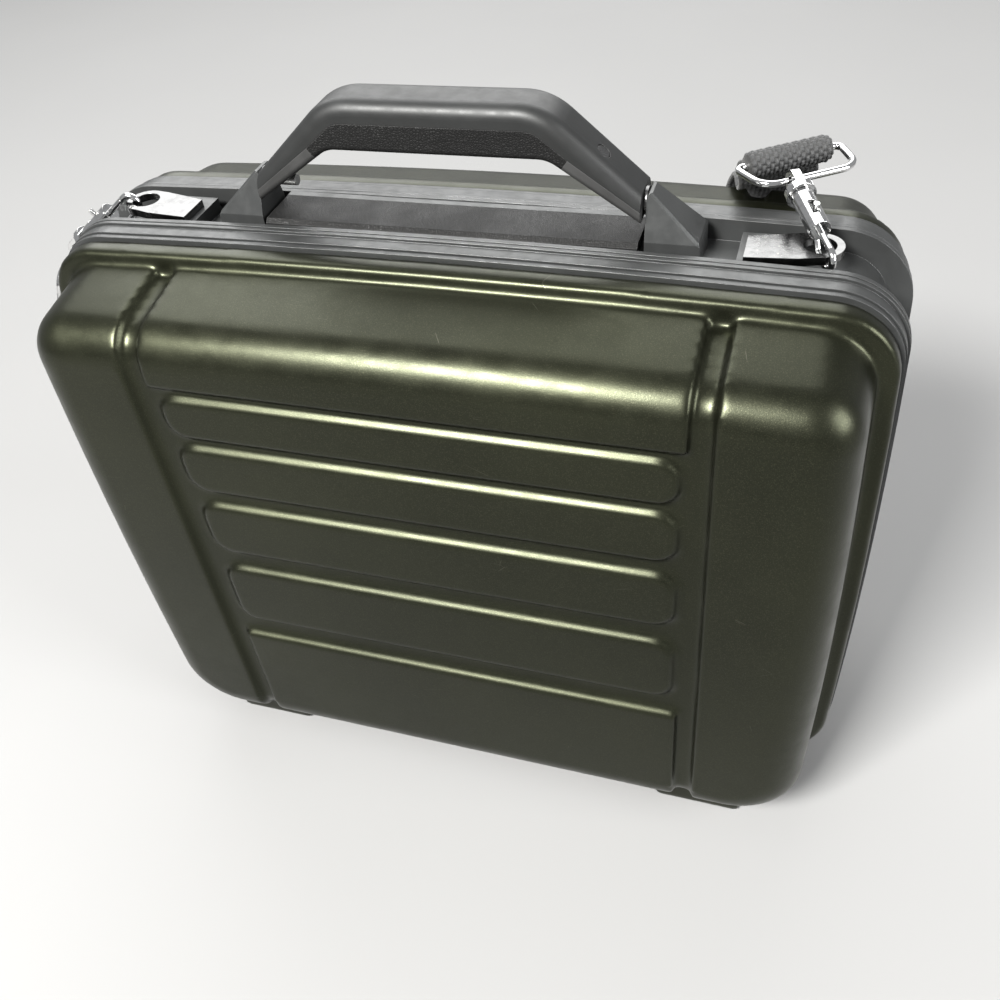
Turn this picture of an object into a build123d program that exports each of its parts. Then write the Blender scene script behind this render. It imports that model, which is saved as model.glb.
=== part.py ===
from build123d import *
import os
from math import cos, radians, sin

# All sizes are in millimetres. X runs along the case, the lid faces -Y, and +Z is up.
# The origin is on the ground, under the middle of the case.

# Case
case_top = 322.0
frame_bottom = 11.0
half_width = 205.0
half_depth = 91.0
top_crown = 4.0
side_crown = 3.5
frame_top_radius = 34.0
frame_bottom_radius = 45.0

# Frame strips: the parting's distance from the middle plane, then each strip's width and inset
parting = 16.4
bead_width = 2.6
bead_inset = 0.0
groove_width = 0.6
groove_inset = 1.2
strip_width = 2.0
strip_inset = 0.2
shadow_width = 1.0
shadow_inset = 1.6
wide_width = 6.2
wide_inset = 1.2
crease_width = 0.6
crease_inset = 2.6
ridge_width = 2.6
ridge_inset = 1.9
leg_inset = 4.8
web_thickness = 3.6
web_overlap = 2.5
lid_web_inset = 15.0
base_web_inset = 13.0
web_end = parting + web_thickness

# Channel between the frames, its seal and the lid's tongue
channel_floor_inset = 10.0
parting_gap = 0.3
seal_height = 1.25
seal_stand = 0.05
channel_seat = 3.0
seal_width = 1.2
seal_groove_width = 1.4
tongue_reach = 3.9
tongue_gap = 0.4
channel_ring_end = parting - parting_gap
seal_floor = channel_ring_end - seal_height
tongue_end = parting - tongue_reach

# Shells
shell_gap = 0.4
shell_wall = 2.6
lip_gap = 1.0
lip_width = 10.5
lip_wall = 2.9
lip_inset = 3.2
lip_bottom_inset = 2.0
lip_round = 2.5
body_side = 12.0
body_top = 9.4
body_side_taper = 2.0
body_top_taper = 8.6
body_bottom_taper = 0.5
body_top_radius = 26.0
body_bottom_radius = 42.0
radius_taper = 4.0
front_round = 20.0
relief_depth = 4.0
relief_wall = 3.0
rib_draft = 31.0
cavity_extra_top = 7.2
cavity_extra_side = 3.0
cavity_bottom = 10.2
cavity_corner_drop = 5.0
cavity_round_drop = 2.0
frame_depth = (
    bead_width + groove_width + strip_width + shadow_width + wide_width + crease_width + ridge_width
)
lip_start = parting + frame_depth + lip_gap
lip_end = lip_start + lip_width
neck_end = lip_end - lip_wall

# Moulded relief on the big faces, measured down from the top of the case
groove_inner = 123.5
groove_outer = 133.8
pocket_top = 45.1
pocket_bottom = 222.2
rib_edges = ((52.2, 73.7), (81.8, 107.9), (119.7, 151.3), (166.1, 206.1))
rib_half = 120.0
rib_corner = 9.0

# Feet
foot_inner = 112.0
foot_outer = 160.0
foot_near = 50.0
foot_far = 78.0
foot_top = 18.0
foot_chamfer = 1.5

# Foam
foam_side = 18.2
foam_top = 26.2
foam_bottom = 13.6
foam_radius = 17.0
foam_corner_drop = 8.0
lid_foam_depth = 26.0
pocket_radius = 12.0
pocket_side = 37.0
camera_pocket_side = 55.0
pocket_floor = 51.0
pocket_ceiling = 76.0
pocket_gap = 26.0
small_pocket_width = 90.0
camera_pocket_depth = 66.0
small_pocket_depth = 50.0

# Hinges along the bottom of the parting
hinge_places = (-110.0, 0.0, 110.0)
hinge_half = 22.0
knuckle_half = 7.5
knuckle_gap = 0.3
barrel_radius = 2.75
hinge_pin_radius = 1.3
hinge_play = 0.06
leaf_thickness = 1.5
lid_leaf_height = 7.8
barrel_room = 0.5
leaf_room = 0.3
base_leaf_depth = 11.0

# Latch
lever_half = 88.0
lever_front_gap = 2.4
lever_bevel = 2.0
lever_bevel_drop = 1.7
lever_seam = 1.4
lever_top = 0.3
lever_thickness = 2.5
latch_axis_behind = 2.1
latch_axis_drop = 5.2
latch_pin_radius = 1.2
latch_play = 0.05
latch_pin_half = 75.0
ear_radius = 2.4
ear_half = 3.0
ear_reach = 1.8
ear_root = 0.5
ear_places = (-61.0, -13.0, 13.0, 61.0)
bracket_places = (-71.0, 0.0, 71.0)
bracket_half = 3.5
bracket_radius = 2.3
rail_width = 4.2
rail_gap = 0.2
rail_drop = 0.5
rail_half = 89.0
hook_places = (-45.0, 45.0)
hook_half = 6.0
catch_thickness = 1.6
catch_bottom = 7.6
keeper_half = 9.0
keeper_thickness = 1.4
keeper_gap = 0.3
keeper_floor_gap = 0.4
keeper_lip = 5.4
keeper_root = 2.2
latch_spring_wire = 0.6
latch_spring_turns = 6
latch_spring_room = 0.25
latch_spring_stretch = 1.25
latch_spring_start = 24.0
rail_far = parting - rail_gap
rail_near = rail_far - rail_width
lever_back = rail_near - lever_seam
lever_front = parting - lever_front_gap - lever_bevel
latch_axis_y = lever_back - latch_axis_behind
keeper_floor = catch_bottom + keeper_floor_gap
keeper_reach = lever_front + lever_bevel - catch_thickness - keeper_gap - keeper_thickness

# Handle, with heights above the top of the case
pivot_height = 14.0
handle_top = 56.5
handle_flat = 48.5
handle_end_gap = 1.6
handle_end_top = 20.6
grip_bottom = 34.5
grip_flat = 50.0
handle_end_bottom = 8.6
handle_half_depth = 12.3
handle_outer_radius = 30.0
handle_inner_radius = 14.0
handle_top_round = 6.0
handle_under_round = 2.5
grip_top = 47.0
grip_top_flat = 44.5
grip_top_radius = 12.0
grip_end = 59.0
grip_end_height = 35.4
grip_cut_end = 50.5
grip_cut_height = 23.6
cover_end_height = 14.2
below_handle = 5.0
pivot_pin_radius = 2.6
pivot_play = 0.05
pivot_end_gap = 0.3
pivot_pin_in_handle = 14.9
pivot_pin_in_post = 4.5
washer_gap = 0.2
washer_radius = 6.0
screw_x = 72.0
screw_y = -2.0
screw_head_radius = 3.1
screw_head_height = 1.3
screw_head_sunk = 0.2
screw_head_gap = 0.3
screw_shank_radius = 1.6
screw_depth = 8.0

# Handle posts
post_inner = 90.5
post_length = 23.5
post_side_gap = 4.9
post_top = 20.5
post_top_flat = 1.5
post_top_step = 2.0
post_top_half = 5.5
post_foot = 0.5
post_edge = 1.0
post_outer = post_inner + post_length
post_half_depth = parting - post_side_gap
handle_end = post_inner - handle_end_gap
pivot_pin_inner = handle_end - pivot_pin_in_handle
pivot_pin_outer = post_inner + pivot_pin_in_post

# Lugs at both ends of the channel
lug_top_drop = 1.0
lug_thickness = 3.6
lug_from_side = 43.5
lug_length = 29.5
lug_shoulder_length = 7.5
lug_near_gap = 1.6
lug_far_inner = 3.0
lug_near_shoulder = 13.0
lug_far_shoulder = 8.0
lug_ring_y = -1.0
lug_ring_hole = 6.75
lug_ring_outer = 10.0
lug_seat_overhang = 3.0
lug_seat_length = 21.0
lug_seat_gap = 4.4
lug_screw_from_ring = ((24.0, -4.0), (15.5, -3.0))
lug_screw_radius = 2.8
lug_screw_core = 1.3
lug_screw_in_lug = 2.6
lug_screw_head = 1.4
lug_seat_bottom = 16.0
lug_ring_x = half_width - lug_from_side
lug_inner = lug_ring_x - lug_length
lug_shoulder = lug_ring_x - lug_shoulder_length
lug_seat_inner = lug_inner - lug_seat_overhang
lug_seat_outer = lug_seat_inner + lug_seat_length
lug_seat_half = parting - lug_seat_gap
lug_near = parting - lug_near_gap
lug_under = lug_top_drop + lug_thickness
lug_screw_places = [(lug_ring_x - back, y) for back, y in lug_screw_from_ring]

# Snap hooks, in their own frame: Z runs from the lug's rod to the strap, X towards the arm
rod_offset = 4.5
hook_wire_radius = 1.5
hook_barrel_radius = 4.7
hook_bore_radius = 3.2
hook_barrel_start = 12.0
hook_floor = 14.0
hook_arm_root = 3.1
hook_arm_rise = 4.0
hook_arm_knee = 2.5
hook_arm_bend = 3.0
hook_nose_gap = 0.4
hook_cap_start = 31.5
hook_barrel_end = 34.0
bolt_radius = 1.4
bolt_play = 0.1
bolt_start = 1.9
bolt_travel = 4.0
piston_start = 18.6
piston_end = 21.6
piston_radius = 3.1
knob_radius = 1.3
knob_reach = 7.6
slot_half = 1.6
slot_play = 0.3
spring_wire = 0.5
spring_radius = 2.4
spring_turns = 7
spring_end_gap = 0.1
swivel_pin_radius = 2.0
swivel_head_radius = 2.9
swivel_head_start = 29.4
swivel_head_height = 1.8
swivel_play = 0.06
cap_radius = 6.4
cap_start = 34.3
cap_end = 39.0
cap_chamfer = 1.2
eye_height = 44.0
eye_radius = 5.2
eye_hole = 3.0
eye_half_thickness = 1.9

# D-rings, with the bar along X and the curved side towards +Z
ring_wire_radius = 1.6
ring_bar_half = 25.4
ring_curve_half = 22.0
ring_depth = 20.8
ring_far_radius = 9.0
ring_near_radius = 3.0
ring_hang = 0.8
roll_radius = 5.2
roll_half = 19.5

# Where the strap's fittings lie: the hooks' places on the lugs' rings, and their ways
rod_drop = lug_top_drop + lug_thickness / 2
right_rod = (lug_ring_x + 3.9, lug_ring_y - 7.4)
right_hook_way = (-0.43, 0.88, 0.215)
right_ring_turn = 34.0
right_ring_slide = 8.6
left_rod = (-lug_ring_x - 8.5, lug_ring_y - 2.0)
left_hook_way = (-0.778, -0.13, -0.615)
left_bar_way = (-0.06, 0.99, 0.15)
left_ring_lean = (-0.29, 0.08, -0.95)

# Shoulder strap
strap_width = 38.0
strap_thickness = 2.6
strap_floor = 3.6
adjuster_half_length = 12.0
adjuster_wall = 1.5
adjuster_gap = 0.35
strap_behind = half_depth + 26.0
strap_beside = half_width + 8.0


def outline(side, top, bottom, top_radius, bottom_radius):
    """Flat outline of the case, with X across and the height as Y."""
    half = half_width - side
    high = case_top - top
    low = frame_bottom + bottom
    middle = (high + low) / 2
    with BuildSketch() as drawn:
        with BuildLine():
            crown = ThreePointArc(
                (-half + side_crown, high - top_crown),
                (0, high),
                (half - side_crown, high - top_crown),
            )
            ThreePointArc(crown @ 1, (half, middle), (half - side_crown, low))
            Line((half - side_crown, low), (-half + side_crown, low))
            ThreePointArc((-half + side_crown, low), (-half, middle), crown @ 0)
        make_face()
        fillet(drawn.vertices().sort_by(Axis.Y)[:2], bottom_radius)
        fillet(drawn.vertices().sort_by(Axis.Y)[-2:], top_radius)
    return drawn.sketch


def frame_outline(inset):
    """Outline of the frames moved inwards by an even inset."""
    return outline(inset, inset, inset, frame_top_radius - inset, frame_bottom_radius - inset)


def slab(start, end, shape, hole=None, mode=Mode.ADD):
    """Adds or removes a flat outline's solid between two depths along Y."""
    with BuildSketch(Plane.XZ.offset(-start)) as drawn:
        add(shape)
        if hole is not None:
            add(hole, mode=Mode.SUBTRACT)
    extrude(drawn.sketch, amount=start - end, mode=mode)


def frame_strips(way):
    """Adds the outer strips of one frame. way is -1 for the lid and 1 for the base."""
    strips = (
        (bead_width, bead_inset),
        (groove_width, groove_inset),
        (strip_width, strip_inset),
        (shadow_width, shadow_inset),
        (wide_width, wide_inset),
        (crease_width, crease_inset),
        (ridge_width, ridge_inset),
    )
    start = parting
    for width, inset in strips:
        slab(way * start, way * (start + width), frame_outline(inset), frame_outline(leg_inset))
        start += width


def shell_body(side, top, bottom, radius_cut, start, front, rounding):
    """Deep tapered part of a shell, from a start depth to its rounded big face."""
    share = (front - start) / (half_depth - lip_end)
    with BuildPart() as body:
        with BuildSketch(Plane.XZ.offset(start)) as back:
            add(outline(side, top, bottom, body_top_radius - radius_cut, body_bottom_radius - radius_cut))
        with BuildSketch(Plane.XZ.offset(front)) as face:
            add(
                outline(
                    side + body_side_taper * share,
                    top + body_top_taper * share,
                    bottom + body_bottom_taper * share,
                    body_top_radius - radius_cut - radius_taper * share,
                    body_bottom_radius - radius_cut - radius_taper * share,
                )
            )
        loft(ruled=True)
        fillet(body.edges().filter_by_position(Axis.Y, -front - 0.01, -front + 0.01), rounding)
    return body.part


def box_between(low, high, mode=Mode.ADD):
    """Adds or removes a box given by its two opposite corners."""
    size = [b - a for a, b in zip(low, high)]
    middle = [(a + b) / 2 for a, b in zip(low, high)]
    with Locations(tuple(middle)):
        Box(*size, mode=mode)


def rod_along_x(start, end, y, z, radius, mode=Mode.ADD):
    """Adds or removes a round bar along X."""
    with Locations(((start + end) / 2, y, z)):
        Cylinder(radius, end - start, rotation=(0, 90, 0), mode=mode)


def handle_edges(part, over):
    """Long edges of the handle's arch: those of its outer side, or those of its underside."""
    long_edges = part.edges().filter_by(
        lambda edge: abs(abs(edge.center().Y) - handle_half_depth) < 0.01
        and abs(edge.tangent_at(0.5).Z) < 0.99
    )
    inside = grip_bottom + (handle_top - grip_bottom) / 3

    def is_over(edge):
        across = max(abs(edge.center().X) - grip_flat, 0) / (handle_end - grip_flat)
        line = inside - across * (inside - (handle_end_bottom + handle_end_top) / 2)
        return edge.center().Z - case_top > line

    return [edge for edge in long_edges if is_over(edge) == over]


def screw_part(way, start, end, radius, mode=Mode.ADD):
    """Adds or removes a round bar square to a handle arm's outer face, between two depths."""
    slope = (handle_top - handle_end_top) / (handle_end - handle_flat)
    on_face = case_top + handle_top - slope * (screw_x - handle_flat)
    outward = Vector(way * slope, 0, 1).normalized()
    face = Plane(origin=(way * screw_x, screw_y, on_face), x_dir=(0, 1, 0), z_dir=outward)
    with Locations(face.offset(-(start + end) / 2)):
        Cylinder(radius, end - start, mode=mode)


def export(name, solid):
    """Writes one node's file."""
    solid.label = name
    export_step(solid, f"parts/{name}.step")


os.makedirs("parts", exist_ok=True)

# Pieces that are only used to cut others
relief_floor = shell_body(
    body_side + relief_depth,
    body_top + relief_depth,
    lip_bottom_inset + relief_depth,
    relief_depth,
    lip_end,
    half_depth - relief_depth,
    front_round - relief_depth,
)
cavity = shell_body(
    body_side + cavity_extra_side,
    body_top + cavity_extra_top,
    cavity_bottom,
    cavity_corner_drop,
    neck_end,
    half_depth - relief_depth - relief_wall,
    front_round - relief_depth - cavity_round_drop,
)
body_block = shell_body(
    body_side, body_top, lip_bottom_inset, 0, lip_end, half_depth, front_round
)
with BuildPart() as wrap_grooves:
    for way in (-1, 1):
        x_ends = sorted((way * groove_inner, way * groove_outer))
        box_between(
            (x_ends[0], -half_depth - 1, frame_bottom - 1), (x_ends[1], -lip_end, case_top)
        )
    add(relief_floor, mode=Mode.SUBTRACT)
with BuildPart() as channel_core:
    slab(-parting, parting, frame_outline(channel_floor_inset))

# Shells: a neck inside the frame, a lip, and the deep body with its relief and feet
draft_offset = relief_depth * sin(radians(rib_draft)) / cos(radians(rib_draft))
with BuildPart() as lid_shell:
    neck_inset = leg_inset + shell_gap
    lip_outline = outline(
        lip_inset,
        lip_inset,
        lip_bottom_inset,
        frame_top_radius - lip_inset,
        frame_bottom_radius - lip_inset,
    )
    slab(-lip_start, -lip_end, lip_outline)
    lip_edge = lid_shell.edges().filter_by_position(Axis.Y, -lip_end - 0.01, -lip_end + 0.01)
    fillet(lip_edge, lip_round)
    slab(-web_end, -lip_start, frame_outline(neck_inset))
    add(body_block)
    add(wrap_grooves.part, mode=Mode.SUBTRACT)
    with BuildSketch(Plane.XZ.offset(half_depth)) as pocket:
        with Locations((0, case_top - (pocket_top + pocket_bottom) / 2)):
            Rectangle(2 * groove_outer, pocket_bottom - pocket_top)
    extrude(pocket.sketch, amount=-relief_depth, taper=rib_draft, mode=Mode.SUBTRACT)
    for rib_top, rib_bottom in rib_edges:
        with BuildSketch(Plane.XZ.offset(half_depth - relief_depth)) as rib:
            with Locations((0, case_top - (rib_top + rib_bottom) / 2)):
                RectangleRounded(
                    2 * rib_half + 2 * draft_offset,
                    rib_bottom - rib_top + 2 * draft_offset,
                    rib_corner + draft_offset,
                )
        extrude(rib.sketch, amount=relief_depth, taper=rib_draft)
    for way in (-1, 1):
        foot_ends = sorted((way * foot_inner, way * foot_outer))
        box_between((foot_ends[0], -foot_far, 0), (foot_ends[1], -foot_near, foot_top))
    chamfer(lid_shell.edges().filter_by_position(Axis.Z, -0.01, 0.01), foot_chamfer)
    slab(-web_end, -neck_end, frame_outline(neck_inset + shell_wall), mode=Mode.SUBTRACT)
    add(cavity, mode=Mode.SUBTRACT)
with BuildPart() as base_shell:
    mirror(lid_shell.part, about=Plane.XZ)

# Frames: stepped strips outside, a web against the parting, and the base's channel floor
with BuildPart() as base_frame:
    frame_strips(1)
    slab(parting, web_end, frame_outline(web_overlap), frame_outline(base_web_inset))
    slab(
        -channel_ring_end, web_end, frame_outline(channel_floor_inset), frame_outline(base_web_inset)
    )
    seal_outer = (channel_floor_inset + base_web_inset - seal_groove_width) / 2
    slab(
        -channel_ring_end,
        -seal_floor,
        frame_outline(seal_outer),
        frame_outline(seal_outer + seal_groove_width),
        mode=Mode.SUBTRACT,
    )
    for way in (-1, 1):
        seat_ends = sorted((way * lug_seat_inner, way * lug_seat_outer))
        box_between(
            (seat_ends[0], -lug_seat_half, case_top - lug_seat_bottom),
            (seat_ends[1], lug_seat_half, case_top - lug_under),
        )
        for x, y in lug_screw_places:
            with Locations((way * x, y, case_top - (lug_under + lug_seat_bottom) / 2)):
                Cylinder(lug_screw_core, lug_seat_bottom - lug_under, mode=Mode.SUBTRACT)
with BuildPart() as lid_frame:
    frame_strips(-1)
    slab(-parting, -web_end, frame_outline(web_overlap), frame_outline(lid_web_inset))
    tongue_inset = base_web_inset + tongue_gap
    slab(-web_end, -tongue_end, frame_outline(tongue_inset), frame_outline(lid_web_inset))
    for x in hinge_places:
        box_between(
            (x - hinge_half - knuckle_gap, -parting - leaf_thickness, frame_bottom - 1),
            (x + hinge_half + knuckle_gap, -parting + 1, frame_bottom + lid_leaf_height),
            mode=Mode.SUBTRACT,
        )
        rod_along_x(
            x - hinge_half - knuckle_gap,
            x + hinge_half + knuckle_gap,
            -parting,
            frame_bottom,
            barrel_radius + barrel_room,
            mode=Mode.SUBTRACT,
        )
with BuildPart() as rim_seal:
    seal_inset = (channel_floor_inset + base_web_inset - seal_width) / 2
    slab(
        -channel_ring_end + seal_stand,
        -seal_floor,
        frame_outline(seal_inset),
        frame_outline(seal_inset + seal_width),
    )

# Foam liners with their pockets
foam_outline = outline(
    foam_side,
    foam_top,
    foam_bottom,
    body_top_radius - foam_corner_drop,
    body_bottom_radius - foam_corner_drop,
)
foam_face = half_depth - relief_depth - relief_wall
with BuildPart() as base_foam:
    slab(0, foam_face, foam_outline)
    foam_edge = base_foam.edges().filter_by_position(Axis.Y, foam_face - 0.01, foam_face + 0.01)
    fillet(foam_edge, foam_radius)
    pocket_right = half_width - pocket_side
    small_left = pocket_right - small_pocket_width
    pocket_low = frame_bottom + pocket_floor
    pocket_high = case_top - pocket_ceiling
    pocket_middle = (pocket_low + pocket_high) / 2
    camera_pocket = (-half_width + camera_pocket_side, small_left - pocket_gap, pocket_low, pocket_high)
    battery_pocket = (small_left, pocket_right, pocket_middle + pocket_gap / 2, pocket_high)
    tape_pocket = (small_left, pocket_right, pocket_low, pocket_middle - pocket_gap / 2)
    pockets = (
        (camera_pocket, camera_pocket_depth),
        (battery_pocket, small_pocket_depth),
        (tape_pocket, small_pocket_depth),
    )
    for (left, right, low, high), depth in pockets:
        with BuildSketch(Plane.XZ) as mouth:
            with Locations(((left + right) / 2, (low + high) / 2)):
                RectangleRounded(right - left, high - low, pocket_radius)
        extrude(mouth.sketch, amount=-depth, mode=Mode.SUBTRACT)
with BuildPart() as lid_foam:
    slab(-foam_face + lid_foam_depth, -foam_face, foam_outline)
    pad_edge = lid_foam.edges().filter_by_position(Axis.Y, -foam_face - 0.01, -foam_face + 0.01)
    fillet(pad_edge, foam_radius)

# Hinges: three knuckles on a pin at each place
base_leaf_bottom = frame_bottom + barrel_radius + leaf_room
channel_under = frame_bottom + channel_floor_inset
with BuildPart() as hinge_leaves_base:
    for x in hinge_places:
        rod_along_x(x - knuckle_half, x + knuckle_half, -parting, frame_bottom, barrel_radius)
        leaf_near = -channel_ring_end
        box_between(
            (x - knuckle_half, leaf_near, frame_bottom),
            (x + knuckle_half, leaf_near + leaf_thickness, channel_under),
        )
        box_between(
            (x - hinge_half, leaf_near, base_leaf_bottom),
            (x + hinge_half, leaf_near + leaf_thickness, channel_under),
        )
        box_between(
            (x - hinge_half, leaf_near, channel_under - leaf_thickness),
            (x + hinge_half, leaf_near + base_leaf_depth, channel_under),
        )
        rod_along_x(
            x - knuckle_half,
            x + knuckle_half,
            -parting,
            frame_bottom,
            hinge_pin_radius,
            mode=Mode.SUBTRACT,
        )
with BuildPart() as hinge_leaves_lid:
    for x in hinge_places:
        for way in (-1, 1):
            ends = sorted((x + way * (knuckle_half + knuckle_gap), x + way * hinge_half))
            rod_along_x(ends[0], ends[1], -parting, frame_bottom, barrel_radius)
            box_between(
                (ends[0], -parting - leaf_thickness, frame_bottom),
                (ends[1], -parting, frame_bottom + lid_leaf_height),
            )
        box_between(
            (x - hinge_half, -parting - leaf_thickness, base_leaf_bottom),
            (x + hinge_half, -parting, frame_bottom + lid_leaf_height),
        )
        rod_along_x(
            x - hinge_half - 1,
            x + hinge_half + 1,
            -parting,
            frame_bottom,
            hinge_pin_radius + hinge_play,
            mode=Mode.SUBTRACT,
        )
with BuildPart() as hinge_pins:
    for x in hinge_places:
        rod_along_x(x - hinge_half, x + hinge_half, -parting, frame_bottom, hinge_pin_radius)

# Latch: a long lever on a pin, its brackets and rail, and two catches over the lid's keepers
seat_bottom = case_top - channel_floor_inset - channel_seat
latch_axis_z = case_top - latch_axis_drop
lever_under = case_top + lever_top - lever_thickness
with BuildPart() as latch_lever:
    with BuildSketch(Plane.YZ.offset(-lever_half)) as lever_profile:
        with BuildLine():
            Polyline(
                (-lever_front, case_top + lever_top),
                (-lever_front - lever_bevel, case_top + lever_top - lever_bevel_drop),
                (-lever_front - lever_bevel, lever_under),
                (lever_back, lever_under),
                (lever_back, case_top + lever_top),
                close=True,
            )
        make_face()
    extrude(amount=2 * lever_half)
    for x in hook_places:
        box_between(
            (x - hook_half, -lever_front - lever_bevel, case_top - catch_bottom),
            (x + hook_half, -lever_front - lever_bevel + catch_thickness, lever_under + ear_root),
        )
    for x in ear_places:
        rod_along_x(x - ear_half, x + ear_half, latch_axis_y, latch_axis_z, ear_radius)
        box_between(
            (x - ear_half, latch_axis_y - ear_radius, latch_axis_z),
            (x + ear_half, latch_axis_y + ear_reach, lever_under + ear_root),
        )
        rod_along_x(
            x - ear_half - 1,
            x + ear_half + 1,
            latch_axis_y,
            latch_axis_z,
            latch_pin_radius + latch_play,
            mode=Mode.SUBTRACT,
        )
with BuildPart() as latch_brackets:
    for x in bracket_places:
        rod_along_x(x - bracket_half, x + bracket_half, latch_axis_y, latch_axis_z, bracket_radius)
        box_between(
            (x - bracket_half, latch_axis_y - bracket_radius, seat_bottom),
            (x + bracket_half, latch_axis_y + bracket_radius, latch_axis_z),
        )
        rod_along_x(
            x - bracket_half,
            x + bracket_half,
            latch_axis_y,
            latch_axis_z,
            latch_pin_radius,
            mode=Mode.SUBTRACT,
        )
    add(channel_core.part, mode=Mode.SUBTRACT)
with BuildPart() as latch_pin:
    rod_along_x(-latch_pin_half, latch_pin_half, latch_axis_y, latch_axis_z, latch_pin_radius)
with BuildPart() as latch_rail:
    box_between(
        (-rail_half, rail_near, seat_bottom),
        (rail_half, rail_far, case_top - rail_drop),
    )
    add(channel_core.part, mode=Mode.SUBTRACT)
with BuildPart() as latch_keepers:
    for x in hook_places:
        box_between(
            (x - keeper_half, -parting - keeper_root, case_top - keeper_floor - keeper_thickness),
            (x + keeper_half, -keeper_reach, case_top - keeper_floor),
        )
        box_between(
            (x - keeper_half, -keeper_reach - keeper_thickness, case_top - keeper_floor),
            (x + keeper_half, -keeper_reach, case_top - keeper_lip),
        )

# The lid's web is slotted for the keepers' tails
with BuildPart() as lid_frame_slotted:
    add(lid_frame.part)
    for x in hook_places:
        box_between(
            (x - keeper_half, -parting - keeper_root, case_top - keeper_floor - keeper_thickness),
            (x + keeper_half, -parting + 1, case_top - keeper_floor),
            mode=Mode.SUBTRACT,
        )

# Torsion spring round the latch pin
spring_mean = latch_pin_radius + latch_spring_wire / 2 + latch_spring_room
with BuildPart() as latch_spring:
    spring_pitch = latch_spring_wire * latch_spring_stretch
    with BuildLine() as coil:
        Helix(spring_pitch, spring_pitch * latch_spring_turns, spring_mean)
    with BuildSketch(Plane(origin=coil.line @ 0, z_dir=coil.line % 0)):
        Circle(latch_spring_wire / 2)
    sweep(path=coil.line)
spring_place = Plane(
    origin=(latch_spring_start, latch_axis_y, latch_axis_z), x_dir=(0, 1, 0), z_dir=(1, 0, 0)
)

# Handle: one cast arch with a grip under it and a cover under each arm
pivot_z = case_top + pivot_height
with BuildPart() as handle_whole:
    with BuildSketch(Plane.XZ.offset(-handle_half_depth)) as arch:
        with BuildLine():
            Polyline(
                (-handle_end, case_top + handle_end_top),
                (-handle_flat, case_top + handle_top),
                (handle_flat, case_top + handle_top),
                (handle_end, case_top + handle_end_top),
                (handle_end, case_top + handle_end_bottom),
                (grip_flat, case_top + grip_bottom),
                (-grip_flat, case_top + grip_bottom),
                (-handle_end, case_top + handle_end_bottom),
                close=True,
            )
        make_face()
        outer_corners = arch.vertices().filter_by_position(
            Axis.Y, case_top + handle_top - 0.1, case_top + handle_top + 0.1
        )
        fillet(outer_corners, handle_outer_radius)
        inner_corners = arch.vertices().filter_by_position(
            Axis.Y, case_top + grip_bottom - 0.1, case_top + grip_bottom + 0.1
        )
        fillet(inner_corners, handle_inner_radius)
    extrude(amount=2 * handle_half_depth)
    for over, rounding in ((True, handle_top_round), (False, handle_under_round)):
        fillet(handle_edges(handle_whole, over), rounding)
    for way in (-1, 1):
        ends = sorted((way * pivot_pin_inner, way * (handle_end + 1)))
        rod_along_x(ends[0], ends[1], 0, pivot_z, pivot_pin_radius + pivot_play, mode=Mode.SUBTRACT)
        sunk_end = screw_head_height + screw_head_sunk
        screw_part(way, 0, sunk_end, screw_head_radius + screw_head_gap, Mode.SUBTRACT)
        screw_part(way, sunk_end, screw_depth, screw_shank_radius, Mode.SUBTRACT)
with BuildPart() as grip_region:
    with BuildSketch(Plane.XZ.offset(-handle_half_depth - 1)) as grip_shape:
        with BuildLine():
            Polyline(
                (-grip_end, case_top + grip_end_height),
                (-grip_top_flat, case_top + grip_top),
                (grip_top_flat, case_top + grip_top),
                (grip_end, case_top + grip_end_height),
                (grip_cut_end, case_top + grip_cut_height),
                (-grip_cut_end, case_top + grip_cut_height),
                close=True,
            )
        make_face()
        fillet(grip_shape.vertices().sort_by(Axis.Y)[-2:], grip_top_radius)
    extrude(amount=2 * handle_half_depth + 2)
with BuildPart() as cover_region_right:
    with BuildSketch(Plane.XZ.offset(-handle_half_depth - 1)):
        with BuildLine():
            Polyline(
                (grip_end, case_top + grip_end_height),
                (handle_end, case_top + cover_end_height),
                (handle_end + 1, case_top + cover_end_height),
                (handle_end + 1, case_top - below_handle),
                (grip_cut_end, case_top - below_handle),
                (grip_cut_end, case_top + grip_cut_height),
                close=True,
            )
        make_face()
    extrude(amount=2 * handle_half_depth + 2)
with BuildPart() as cover_region_left:
    mirror(cover_region_right.part, about=Plane.YZ)
with BuildPart() as handle_grip:
    add(handle_whole.part)
    add(grip_region.part, mode=Mode.INTERSECT)
with BuildPart() as handle_cover_right:
    add(handle_whole.part)
    add(cover_region_right.part, mode=Mode.INTERSECT)
with BuildPart() as handle_cover_left:
    add(handle_whole.part)
    add(cover_region_left.part, mode=Mode.INTERSECT)
with BuildPart() as handle_body:
    add(handle_whole.part)
    for region in (grip_region, cover_region_right, cover_region_left):
        add(region.part, mode=Mode.SUBTRACT)
with BuildPart() as handle_screws:
    for way in (-1, 1):
        screw_part(way, screw_head_sunk, sunk_end, screw_head_radius)
        screw_part(way, sunk_end, screw_depth, screw_shank_radius)
with BuildPart() as handle_pins:
    for way in (-1, 1):
        ends = sorted((way * (pivot_pin_inner + pivot_end_gap), way * pivot_pin_outer))
        rod_along_x(ends[0], ends[1], 0, pivot_z, pivot_pin_radius)
with BuildPart() as handle_washers:
    for way in (-1, 1):
        ends = sorted((way * (handle_end + washer_gap), way * post_inner))
        rod_along_x(ends[0], ends[1], 0, pivot_z, washer_radius)
        rod_along_x(ends[0], ends[1], 0, pivot_z, pivot_pin_radius, mode=Mode.SUBTRACT)

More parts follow.
